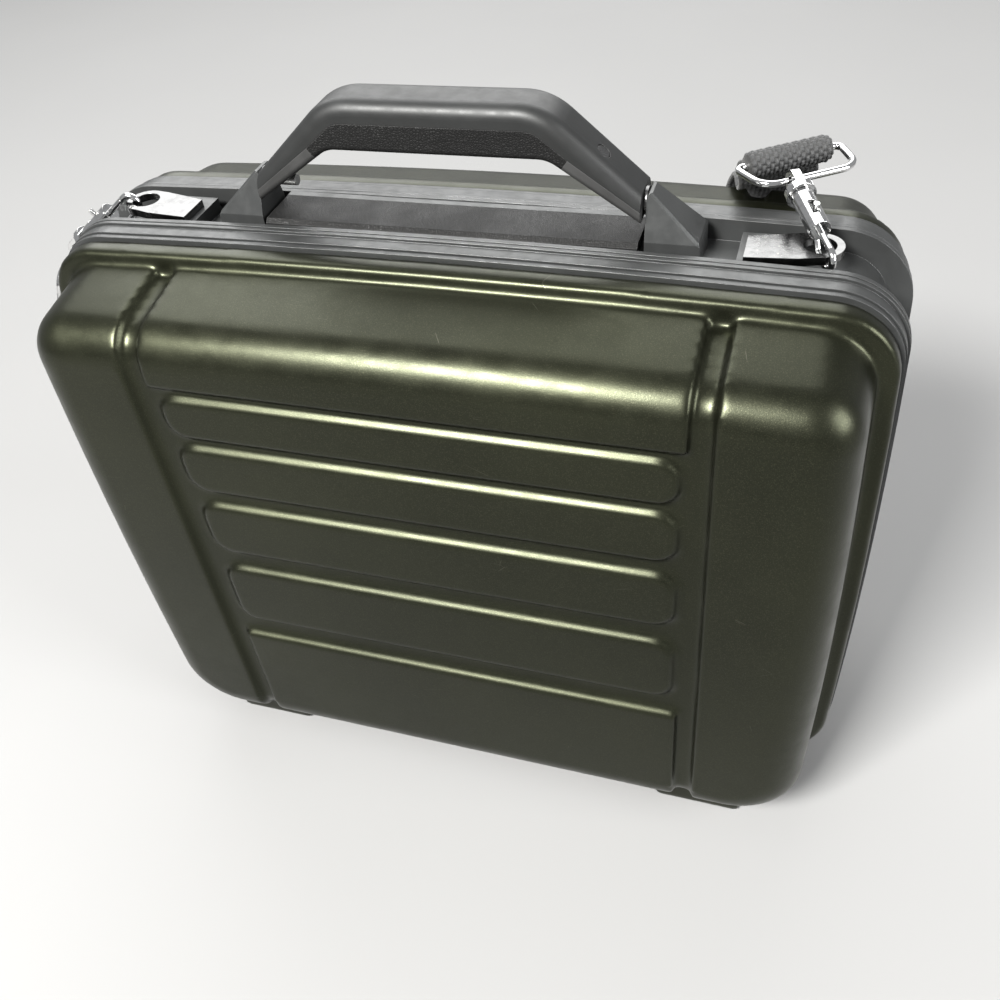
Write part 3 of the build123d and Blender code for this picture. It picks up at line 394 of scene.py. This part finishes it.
def webbing_material():
    """Coarse woven webbing. The piece's UV gives the way along and across it, in knots."""
    s = Shader("charcoal_webbing")
    parts = s.new("ShaderNodeSeparateXYZ")
    s.feed(parts.inputs[0], s.new("ShaderNodeUVMap", uv_map="weave").outputs[0])
    along, across = parts.outputs[0], parts.outputs[1]
    row = s.math("FLOOR", s.math("ADD", across, KNOT_NUDGE))
    shift = s.math("MULTIPLY", s.math("MODULO", row, 2.0), 0.5)
    turn_along = s.math("MULTIPLY", s.math("FRACT", s.math("ADD", along, shift)), math.pi)
    turn_across = s.math("MULTIPLY", s.math("FRACT", across), math.pi)
    knot = s.math("MULTIPLY", s.math("SINE", turn_along), s.math("SINE", turn_across))
    knot = s.math("POWER", s.math("MAXIMUM", knot, 0.0), KNOT_ROUNDNESS)
    stretched = s.scaled(s.place, (1.0, 9.0, 9.0))
    fibre = s.noise(260.0, detail=3.0, rough=0.6, vector=stretched)
    # Darker between the knots than on their tops: painted shade, as the knots already stand up
    # in the mesh
    colour = s.mix(s.ramp(knot, 0.1, 0.9), grey(0.004), (0.015, 0.0156, 0.0168, 1))
    colour = s.mix(s.ramp(fibre, 0.5, 0.8, to_high=0.5), colour, grey(0.038))
    yarn = s.math("SINE", s.math("MULTIPLY", across, 8 * math.pi))
    height = s.math("ADD", s.math("MULTIPLY", yarn, 0.3), fibre)
    s.set(Base_Color=colour, Roughness=0.62, Normal=s.bump(height, 0.00025, strength=0.9))
    s.surface.inputs["Sheen Weight"].default_value = 0.1
    return s.material


def dress(name, material):
    """Gives a CAD node its material."""
    obj = nodes[name]
    obj.data.materials.clear()
    obj.data.materials.append(material)


def new_object(name, mesh):
    obj = bpy.data.objects.new(name, mesh)
    bpy.context.scene.collection.objects.link(obj)
    return obj


def evaluated_copy(source, name, modifiers):
    """New mesh object: a copy of a CAD node's mesh with modifiers applied."""
    obj = new_object(name, source.data.copy())
    for kind, values in modifiers:
        modifier = obj.modifiers.new(kind.lower(), kind)
        for key, value in values.items():
            setattr(modifier, key, value)
    graph = bpy.context.evaluated_depsgraph_get()
    mesh = bpy.data.meshes.new_from_object(obj.evaluated_get(graph))
    obj.modifiers.clear()
    obj.data = mesh
    mesh.name = name
    return obj


def cover_node(obj, material, replaced):
    """Smooth shading, material and slot for a new piece that stands for a CAD node."""
    obj.data.materials.clear()
    obj.data.materials.append(material)
    obj.data.polygons.foreach_set("use_smooth", [True] * len(obj.data.polygons))
    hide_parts(replaced)


def finish_piece(obj, body, material, replaced):
    """As cover_node, for a piece that rides on one body."""
    cover_node(obj, material, replaced)
    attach(obj, body)


def moulded(node, name, body, material, voxel, rounds):
    """Replaces a CAD node with a copy whose edges are rounded like a moulding's."""
    remesh = ("REMESH", {"mode": "VOXEL", "voxel_size": voxel})
    smooth = ("SMOOTH", {"factor": SMOOTHING, "iterations": rounds})
    obj = evaluated_copy(nodes[node], name, [remesh, smooth])
    finish_piece(obj, body, material, node)
    return obj


def convolute(obj, face_y):
    """Presses rows of dimples into the foam's flat face at y = face_y, leaving a flat rim."""
    low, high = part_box("lid_foam")
    for vertex in obj.data.vertices:
        x, y, z = vertex.co
        if y < face_y - FOAM_FACE_BAND:
            continue
        inside = min(x - low[0], high[0] - x, z - low[2], high[2] - z)
        if inside < DIMPLE_RIM:
            continue
        share = min((inside - DIMPLE_RIM) / DIMPLE_FADE, 1.0)
        across = math.cos(2 * math.pi * x / DIMPLE_PITCH)
        down = math.cos(2 * math.pi * z / DIMPLE_PITCH)
        vertex.co.y = y - share * DIMPLE_DEPTH * (0.5 - 0.5 * across * down)


def knots(along, across):
    """How far the weave stands up, 0 to 1, at places counted in knots along and across."""
    shift = 0.5 * (np.floor(across + KNOT_NUDGE) % 2)
    bulge = np.sin(np.pi * ((along + shift) % 1.0)) * np.sin(np.pi * (across % 1.0))
    return np.clip(bulge, 0.0, 1.0) ** KNOT_ROUNDNESS


def grid_faces(rows, columns):
    """Faces of a tube of rows of points, each row a closed ring, with both ends closed."""
    here = np.arange((rows - 1) * columns).reshape(rows - 1, columns)
    beside = np.roll(here, -1, axis=1)
    quads = np.stack([here, beside, beside + columns, here + columns], axis=-1)
    faces = quads.reshape(-1, 4).tolist()
    faces.append(list(range(columns))[::-1])
    faces.append(list(range((rows - 1) * columns, rows * columns)))
    return faces


def mesh_piece(name, points, faces, weave):
    """New mesh object whose UV holds each point's place in the weave."""
    mesh = bpy.data.meshes.new(name)
    mesh.from_pydata(points.tolist(), [], faces)
    layer = mesh.uv_layers.new(name="weave")
    corner_points = np.zeros(len(mesh.loops), np.int32)
    mesh.loops.foreach_get("vertex_index", corner_points)
    layer.uv.foreach_set("vector", weave[corner_points].astype(np.float32).ravel())
    mesh.update()
    return new_object(name, mesh)


def centreline(stations):
    """Rows of place and width direction, a quarter knot apart on a Catmull-Rom line."""
    points = np.array([[*place, *wide] for place, wide in stations])
    padded = np.vstack([2 * points[0] - points[1], points, 2 * points[-1] - points[-2]])
    runs = []
    for number in range(1, len(padded) - 2):
        before, near, far, after = padded[number - 1:number + 3]
        t = np.linspace(0.0, 1.0, SPAN_STEPS, endpoint=False)[:, None]
        square = 2 * before - 5 * near + 4 * far - after
        cube = 3 * near - before - 3 * far + after
        runs.append(0.5 * (2 * near + (far - before) * t + square * t**2 + cube * t**3))
    line = np.vstack([*runs, points[-1:]])
    steps = np.linalg.norm(np.diff(line[:, :3], axis=0), axis=1)
    gone = np.concatenate([[0.0], np.cumsum(steps)])
    at = np.arange(0.0, gone[-1], KNOT_LENGTH / KNOT_STEPS)
    return np.stack([np.interp(at, gone, line[:, axis]) for axis in range(6)], axis=1)


def unit_rows(rows):
    return rows / np.linalg.norm(rows, axis=1, keepdims=True)


def webbing_band(name, line, first, last):
    """Flat webbing with a raised weave, over the rows first to last of a centreline."""
    ahead = unit_rows(np.gradient(line[:, :3], axis=0))
    wide = line[:, 3:]
    wide = unit_rows(wide - ahead * (wide * ahead).sum(1)[:, None])
    out = np.cross(ahead, wide)
    half = STRAP_WIDTH / 2
    columns = round(STRAP_WIDTH / KNOT_WIDTH) * KNOT_STEPS
    across = np.linspace(-half, half, columns + 1)
    rows = np.arange(first, last)
    along = rows[:, None] / KNOT_STEPS
    counted = (across + half)[None, :] / KNOT_WIDTH
    height = STRAP_THICKNESS / 2 - KNOT_HEIGHT * (1 - knots(along, counted))
    edge = np.clip((np.abs(across) / half - EDGE_START) / (1 - EDGE_START), 0.0, 1.0)
    height = height * (1 - EDGE_THINNING * edge**2)
    middle = line[rows, None, :3] + wide[rows, None] * across[None, :, None]
    weave = np.stack(np.broadcast_arrays(along, counted), axis=-1)
    # Upper face from edge to edge, then the lower face back
    upper = middle + out[rows, None] * height[:, :, None]
    lower = middle - out[rows, None] * height[:, :, None]
    points = np.concatenate([upper, lower[:, ::-1]], axis=1)
    weave = np.concatenate([weave, weave[:, ::-1]], axis=1)
    faces = grid_faces(len(rows), points.shape[1])
    return mesh_piece(name, points.reshape(-1, 3), faces, weave.reshape(-1, 2))


def webbing_roll(name, centre, way, tail_way):
    """Strap end folded round a ring's bar: a woven roll that bulges towards its tail."""
    centre, way, tail_way = (np.array(v) for v in (centre, way, tail_way))
    way = way / np.linalg.norm(way)
    side = tail_way - way * (tail_way @ way)
    side /= np.linalg.norm(side)
    up = np.cross(way, side)
    rows = round(2 * ROLL_HALF / KNOT_WIDTH) * ROLL_STEPS_ALONG + 1
    columns = ROLL_KNOTS * ROLL_STEPS_AROUND
    along = np.linspace(-ROLL_HALF, ROLL_HALF, rows)[:, None]
    turn = np.linspace(0.0, 2 * np.pi, columns, endpoint=False)[None, :]
    counted = (along + ROLL_HALF) / KNOT_WIDTH
    around = turn / (2 * np.pi) * ROLL_KNOTS
    end = (np.abs(along) / ROLL_HALF - ROLL_END_START) / (1 - ROLL_END_START)
    end = np.clip(end, 0.0, 1.0)
    radius = ROLL_RADIUS - ROLL_SINK + ROLL_RELIEF * knots(around, counted)
    radius = radius * (1 - ROLL_END_NARROWING * end**2)
    bulge = 1 + ROLL_BULGE * np.clip(np.cos(turn), 0.0, 1.0) ** 2
    points = (
        centre
        + way * along[:, :, None]
        + side * (radius * bulge * np.cos(turn))[:, :, None]
        + up * (radius * np.sin(turn))[:, :, None]
    )
    weave = np.stack(np.broadcast_arrays(around, counted), axis=-1)
    faces = grid_faces(rows, columns)
    return mesh_piece(name, points.reshape(-1, 3), faces, weave.reshape(-1, 2))


def station(x, y, z, turn):
    """A place on the strap's route, and its width's level way, turned from x in degrees."""
    angle = math.radians(turn)
    return (Vector((x, y, z)), Vector((math.cos(angle), math.sin(angle), 0.0)))


def strap_stations():
    """The strap's route: its right half from the ring, and its left half to the ring."""
    right, left = RIGHT_BAR, LEFT_BAR
    # From the ring over the case's back edge, down behind it and along the ground
    right_half = [
        station(right.x - 0.0026, right.y + 0.0038, right.z - 0.0006, 36),
        station(right.x - 0.0055, right.y + 0.0110, right.z - 0.0048, 38),
        station(right.x - 0.005, HALF_DEPTH - 0.021, CASE_TOP - 0.007, 30),
        station(right.x - 0.009, HALF_DEPTH - 0.003, CASE_TOP - 0.013, 18),
        station(right.x - 0.014, HALF_DEPTH + 0.012, CASE_TOP - 0.038, 10),
        station(right.x - 0.017, HALF_DEPTH + 0.016, 0.72 * CASE_TOP, 8),
        station(right.x - 0.016, HALF_DEPTH + 0.019, 0.47 * CASE_TOP, 18),
        station(right.x - 0.011, HALF_DEPTH + 0.022, 0.22 * CASE_TOP, 48),
        station(right.x - 0.018, HALF_DEPTH + 0.025, 0.08 * CASE_TOP, 74),
        station(right.x - 0.042, STRAP_BEHIND, STRAP_FLOOR + 0.0015, 88),
        station(right.x - 0.072, STRAP_BEHIND, STRAP_FLOOR, 90),
        station(0.0, STRAP_BEHIND, STRAP_FLOOR, 90),
    ]
    # On along the ground, round the corner and up the left side to the ring
    left_half = [
        station(0.0, STRAP_BEHIND, STRAP_FLOOR, 90),
        station(-0.68 * HALF_WIDTH, STRAP_BEHIND, STRAP_FLOOR, 90),
        station(-0.82 * HALF_WIDTH, STRAP_BEHIND - 0.001, STRAP_FLOOR + 0.004, 90),
        station(-STRAP_BESIDE + 0.021, STRAP_BEHIND - 0.005, STRAP_FLOOR + 0.024, 90),
        station(-STRAP_BESIDE + 0.006, STRAP_BEHIND - 0.017, STRAP_FLOOR + 0.056, 90),
        station(-STRAP_BESIDE + 0.001, 0.77 * HALF_DEPTH, 0.36 * CASE_TOP, 90),
        station(-STRAP_BESIDE, 0.31 * HALF_DEPTH, 0.578 * CASE_TOP, 90),
        station(left.x, 0.002, left.z - 0.041, 90),
        station(left.x - 0.0015, left.y + 0.0025, left.z - 0.012, 90),
        station(left.x - 0.0008, left.y + 0.0010, left.z - 0.0045, 91),
    ]
    return right_half, left_half


def stage_and_lights():
    """Plain pale floor under plain soft studio light."""
    bpy.ops.mesh.primitive_plane_add(size=FLOOR_SIZE, location=(0, 0, 0))
    floor = bpy.context.object
    floor.name = "studio_floor"
    s = Shader("pale_floor")
    dark, light = FLOOR_GREYS
    colour = s.mix(s.ramp(s.noise(3.0), *PATCHY), grey(dark), grey(light))
    s.set(Base_Color=colour, Roughness=0.9)
    floor.data.materials.append(s.material)
    world = bpy.data.worlds.new("studio")
    bpy.context.scene.world = world
    world.use_nodes = True
    background = world.node_tree.nodes["Background"]
    background.inputs["Color"].default_value = SURROUNDINGS
    background.inputs["Strength"].default_value = SURROUNDINGS_STRENGTH
    for name, place, aim, width, height, watts, colour in LIGHTS:
        data = bpy.data.lights.new(name, "AREA")
        data.shape = "RECTANGLE"
        data.size = width
        data.size_y = height
        data.energy = watts
        data.color = colour
        obj = new_object(name, data)
        obj.location = place
        way = Vector(aim) - Vector(place)
        obj.rotation_euler = way.to_track_quat("-Z", "Y").to_euler()


bpy.context.scene.view_settings.view_transform = "Standard"
place_camera()
stage_and_lights()

paint = shell_paint()
grey_frame = frame_plastic(
    "grey_frame", base=0.042, metallic=0.55, rough_low=0.30, rough_high=0.42
)
handle_plastic = frame_plastic(
    "handle_plastic", base=0.014, metallic=0.35, rough_low=0.42, rough_high=0.50
)
grip_leather = leather_grain(
    "grip_leather", base=0.006, pebble=900.0, depth=0.00012, rough=0.5, metallic=0.0
)
lever_skin = leather_grain(
    "lever_skin", base=0.009, pebble=1100.0, depth=0.00008, rough=0.42, metallic=0.1
)
black = matte_black()
bright = chrome("bright_chrome", base=0.62, rough_low=0.05, rough_high=0.16, dents=0.0)
rippled = chrome("rippled_chrome", base=0.14, rough_low=0.16, rough_high=0.28, dents=0.60)
steel = satin_steel("satin_steel", low=0.42, high=0.56)
dark_steel = satin_steel("dark_steel", low=0.10, high=0.15)
foam = foam_material()
seal = rubber()
webbing = webbing_material()

CAD_DRESS = (
    (
        grey_frame,
        ("base_frame", "lid_frame", "handle_post_left", "handle_post_right", "latch_rail"),
    ),
    (handle_plastic, ("handle_body",)),
    (grip_leather, ("handle_grip",)),
    (lever_skin, ("latch_lever",)),
    (black, ("handle_cover_left", "handle_cover_right", "strap_adjuster")),
    (rippled, ("lug_left", "lug_right")),
    (
        steel,
        (
            "hinge_leaves_base", "hinge_leaves_lid", "hinge_pins",
            "latch_brackets", "latch_pin", "latch_keepers", "latch_spring",
            "lug_screws", "handle_pins", "hook_spring_left", "hook_spring_right",
        ),
    ),
    (dark_steel, ("handle_washers", "handle_screws")),
    (seal, ("rim_seal",)),
    (
        bright,
        (
            "hook_body_left", "hook_gate_left", "hook_swivel_left", "d_ring_left",
            "hook_body_right", "hook_gate_right", "hook_swivel_right", "d_ring_right",
        ),
    ),
)
for material, parts in CAD_DRESS:
    for part in parts:
        dress(part, material)

moulded("lid_shell", "lid_shell_moulding", "lid", paint, VOXEL, ROUNDS)
moulded("base_shell", "base_shell_moulding", "case", paint, VOXEL, ROUNDS)
base_pad = moulded(
    "base_foam", "base_foam_pad", "case", foam, BASE_FOAM_VOXEL, BASE_FOAM_ROUNDS
)
lid_pad = moulded(
    "lid_foam", "lid_foam_pad", "lid", foam, LID_FOAM_VOXEL, LID_FOAM_ROUNDS
)
convolute(lid_pad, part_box("lid_foam")[1][1])

right_half, left_half = strap_stations()
sides = (
    # side, stations from the ring, length as cut, bar, its way, way to the tail
    ("right", right_half, RIGHT_CUT, RIGHT_BAR, RIGHT_BAR_WAY, RIGHT_TAIL_WAY),
    ("left", left_half[::-1], LEFT_CUT, LEFT_BAR, LEFT_BAR_WAY, LEFT_TAIL_WAY),
)
for side, stations, cut, bar, way, tail in sides:
    bodies = ("ring_" + side, "swivel_" + side, "hook_" + side, "case")
    line = centreline(stations)
    roll = webbing_roll("strap_roll_" + side, bar, way, tail)
    finish_piece(roll, bodies[0], webbing, "strap_loop_" + side)
    cuts = (0, *STRAP_JOINS, len(line) - 1)
    # Three pieces cut from the centreline at the joins, in order from the ring to the case
    for number, name in enumerate(("end", "link", "half")):
        first, last = cuts[number], cuts[number + 1]
        band = webbing_band(f"strap_{side}_{name}", line, first, last + 1)
        cover_node(band, webbing, "shoulder_strap")
        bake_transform(band)
